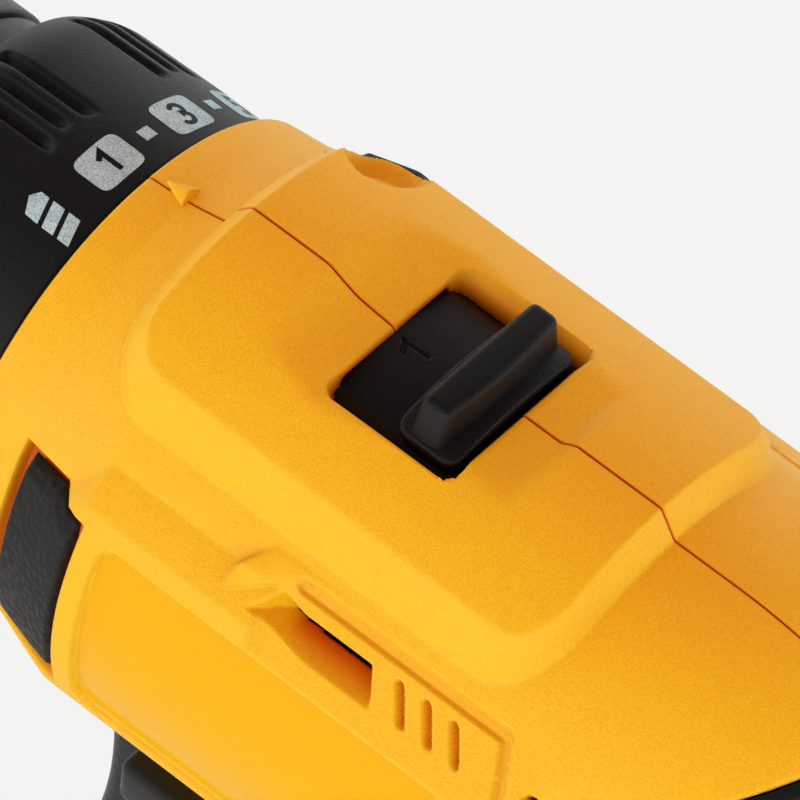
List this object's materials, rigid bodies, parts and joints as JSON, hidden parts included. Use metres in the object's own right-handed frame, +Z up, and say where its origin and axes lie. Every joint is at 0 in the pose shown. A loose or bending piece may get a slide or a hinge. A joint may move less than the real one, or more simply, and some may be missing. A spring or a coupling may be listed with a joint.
{
  "type": "cordless drill",
  "caption": "Pistol-grip cordless drill driver with a keyless chuck, numbered torque collar, two-speed slider, trigger and slide-on battery.",
  "frame": {"origin": "centre of the battery's flat base", "axes": "+X along the drill axis towards the chuck, +Y to the user's left, +Z up"},
  "size_m": [0.177, 0.073, 0.2106],
  "materials": {
    "yellow_housing": "fine moulded grain",
    "black_plastic": "moulded",
    "grip_rubber": "leather-like grain",
    "grey_plastic": "satin",
    "steel": "machined",
    "screw_steel": "blackened",
    "grey_gear_case": "glass-filled",
    "magnet": "sintered",
    "bronze": "sintered",
    "lens": "clear",
    "cell": "sleeved",
    "board": "lacquered"
  },
  "bodies": {
    "drill_body": {"left_housing": "yellow_housing", "right_housing": "yellow_housing", "rear_cover": "black_plastic", "rear_cover_screws": "screw_steel", "rubber_pads": "grip_rubber", "handle_grips": "grip_rubber", "housing_screws": "screw_steel", "gear_case": "grey_gear_case", "front_ring_gear": "steel", "spindle_bush": "bronze", "bearing_outer_race": "steel", "clutch_washer": "steel", "clutch_spring": "steel", "collar_clip": "steel", "motor_mount": "grey_gear_case", "motor_can": "steel", "motor_magnets": "magnet", "motor_end_cap": "black_plastic", "motor_brushes": "magnet", "trigger_spring": "steel", "speed_switch": "black_plastic", "work_light": "lens", "tool_terminals": "black_plastic"},
    "rotor": {"motor_rotor": "steel", "cooling_fan": "black_plastic"},
    "first_carrier": {"first_carrier": "steel"},
    "second_carrier": {"second_carrier": "steel"},
    "spindle": {"spindle": "steel", "bearing_inner_and_balls": "steel", "chuck_body": "steel", "chuck_ring": "grey_plastic", "chuck_screw": "steel"},
    "chuck_sleeve": {"chuck_sleeve": "grey_plastic", "chuck_nut": "steel"},
    "torque_collar": {"torque_collar": "black_plastic"},
    "clutch_nut": {"clutch_nut": "steel"},
    "gear_selector": {"gear_selector": "black_plastic", "shift_ring_gear": "steel"},
    "trigger": {"trigger": "black_plastic"},
    "direction_lever": {"direction_lever": "black_plastic"},
    "battery": {"battery_tray": "black_plastic", "battery_cover": "black_plastic", "battery_cells": "cell", "cell_holders": "black_plastic", "battery_board": "board", "battery_contacts": "bronze", "battery_screws": "screw_steel"},
    "battery_release": {"battery_release": "black_plastic"},
    "first_planet_1": {"first_planet_1": "steel"},
    "first_planet_2": {"first_planet_2": "steel"},
    "first_planet_3": {"first_planet_3": "steel"},
    "second_planet_1": {"second_planet_1": "steel"},
    "second_planet_2": {"second_planet_2": "steel"},
    "second_planet_3": {"second_planet_3": "steel"},
    "third_planet_1": {"third_planet_1": "steel"},
    "third_planet_2": {"third_planet_2": "steel"},
    "third_planet_3": {"third_planet_3": "steel"},
    "jaw_1": {"jaw_1": "steel"},
    "jaw_2": {"jaw_2": "steel"},
    "jaw_3": {"jaw_3": "steel"}
  },
  "joints": [
    {"name": "rotor_spin", "type": "hinge", "parent": "drill_body", "child": "rotor", "pos_m": [0, 0, 0.174], "axis": [1, 0, 0], "continuous": true},
    {"name": "first_carrier_spin", "type": "hinge", "parent": "drill_body", "child": "first_carrier", "pos_m": [0, 0, 0.174], "axis": [1, 0, 0], "continuous": true},
    {"name": "second_carrier_spin", "type": "hinge", "parent": "drill_body", "child": "second_carrier", "pos_m": [0, 0, 0.174], "axis": [1, 0, 0], "continuous": true},
    {"name": "spindle_spin", "type": "hinge", "parent": "drill_body", "child": "spindle", "pos_m": [0, 0, 0.174], "axis": [1, 0, 0], "continuous": true},
    {"name": "first_planet_1_spin", "type": "hinge", "parent": "first_carrier", "child": "first_planet_1", "pos_m": [0, 0, 0.186], "axis": [1, 0, 0], "continuous": true},
    {"name": "first_planet_2_spin", "type": "hinge", "parent": "first_carrier", "child": "first_planet_2", "pos_m": [0, -0.01039, 0.168], "axis": [1, 0, 0], "continuous": true},
    {"name": "first_planet_3_spin", "type": "hinge", "parent": "first_carrier", "child": "first_planet_3", "pos_m": [0, 0.01039, 0.168], "axis": [1, 0, 0], "continuous": true},
    {"name": "second_planet_1_spin", "type": "hinge", "parent": "second_carrier", "child": "second_planet_1", "pos_m": [0, 0, 0.186], "axis": [1, 0, 0], "continuous": true},
    {"name": "second_planet_2_spin", "type": "hinge", "parent": "second_carrier", "child": "second_planet_2", "pos_m": [0, -0.01039, 0.168], "axis": [1, 0, 0], "continuous": true},
    {"name": "second_planet_3_spin", "type": "hinge", "parent": "second_carrier", "child": "second_planet_3", "pos_m": [0, 0.01039, 0.168], "axis": [1, 0, 0], "continuous": true},
    {"name": "third_planet_1_spin", "type": "hinge", "parent": "spindle", "child": "third_planet_1", "pos_m": [0, 0, 0.186], "axis": [1, 0, 0], "continuous": true},
    {"name": "third_planet_2_spin", "type": "hinge", "parent": "spindle", "child": "third_planet_2", "pos_m": [0, -0.01039, 0.168], "axis": [1, 0, 0], "continuous": true},
    {"name": "third_planet_3_spin", "type": "hinge", "parent": "spindle", "child": "third_planet_3", "pos_m": [0, 0.01039, 0.168], "axis": [1, 0, 0], "continuous": true},
    {"name": "sleeve_turn", "type": "hinge", "parent": "spindle", "child": "chuck_sleeve", "pos_m": [0, 0, 0.174], "axis": [1, 0, 0], "range_deg": [-979.2, 936]},
    {"name": "jaw_1_slide", "type": "slide", "parent": "spindle", "child": "jaw_1", "axis": [-0.9659, 0, 0.2588], "range_m": [-0.0069, 0.0066]},
    {"name": "jaw_2_slide", "type": "slide", "parent": "spindle", "child": "jaw_2", "axis": [-0.9659, -0.2241, -0.1294], "range_m": [-0.0069, 0.0066]},
    {"name": "jaw_3_slide", "type": "slide", "parent": "spindle", "child": "jaw_3", "axis": [-0.9659, 0.2241, -0.1294], "range_m": [-0.0069, 0.0066]},
    {"name": "collar_turn", "type": "hinge", "parent": "drill_body", "child": "torque_collar", "pos_m": [0, 0, 0.174], "axis": [1, 0, 0], "range_deg": [-212.5, 18]},
    {"name": "clutch_nut_slide", "type": "slide", "parent": "torque_collar", "child": "clutch_nut", "axis": [1, 0, 0], "range_m": [-0.0037, 0.0004], "deforming": ["clutch_spring"]},
    {"name": "selector_slide", "type": "slide", "parent": "drill_body", "child": "gear_selector", "axis": [1, 0, 0], "range_m": [0, 0.007]},
    {"name": "trigger_pull", "type": "slide", "parent": "drill_body", "child": "trigger", "axis": [-1, 0, 0], "range_m": [0, 0.007], "stiffness_N_per_m": 1500, "deforming": ["trigger_spring"]},
    {"name": "direction_slide", "type": "slide", "parent": "drill_body", "child": "direction_lever", "axis": [0, 1, 0], "range_m": [-0.004, 0.004]},
    {"name": "battery_slide", "type": "slide", "parent": "drill_body", "child": "battery", "axis": [1, 0, 0], "range_m": [0, 0.096]},
    {"name": "release_press", "type": "slide", "parent": "battery", "child": "battery_release", "axis": [0, 0, -1], "range_m": [0, 0.003], "stiffness_N_per_m": 1500}
  ],
  "couplings": [
    {"joint": "first_carrier_spin", "follows": "rotor_spin", "ratio": 0.25},
    {"joint": "second_carrier_spin", "follows": "rotor_spin", "ratio": 0.0625},
    {"joint": "spindle_spin", "follows": "rotor_spin", "ratio": 0.015625},
    {"joint": "first_planet_1_spin", "follows": "rotor_spin", "ratio": -0.75},
    {"joint": "first_planet_2_spin", "follows": "rotor_spin", "ratio": -0.75},
    {"joint": "first_planet_3_spin", "follows": "rotor_spin", "ratio": -0.75},
    {"joint": "second_planet_1_spin", "follows": "rotor_spin", "ratio": -0.1875},
    {"joint": "second_planet_2_spin", "follows": "rotor_spin", "ratio": -0.1875},
    {"joint": "second_planet_3_spin", "follows": "rotor_spin", "ratio": -0.1875},
    {"joint": "third_planet_1_spin", "follows": "rotor_spin", "ratio": -0.046875},
    {"joint": "third_planet_2_spin", "follows": "rotor_spin", "ratio": -0.046875},
    {"joint": "third_planet_3_spin", "follows": "rotor_spin", "ratio": -0.046875},
    {"joint": "jaw_1_slide", "follows": "sleeve_turn", "m_per_rad": 0.00039789},
    {"joint": "jaw_2_slide", "follows": "sleeve_turn", "m_per_rad": 0.00039789},
    {"joint": "jaw_3_slide", "follows": "sleeve_turn", "m_per_rad": 0.00039789},
    {"joint": "clutch_nut_slide", "follows": "collar_turn", "m_per_rad": 0.00097066}
  ]
}
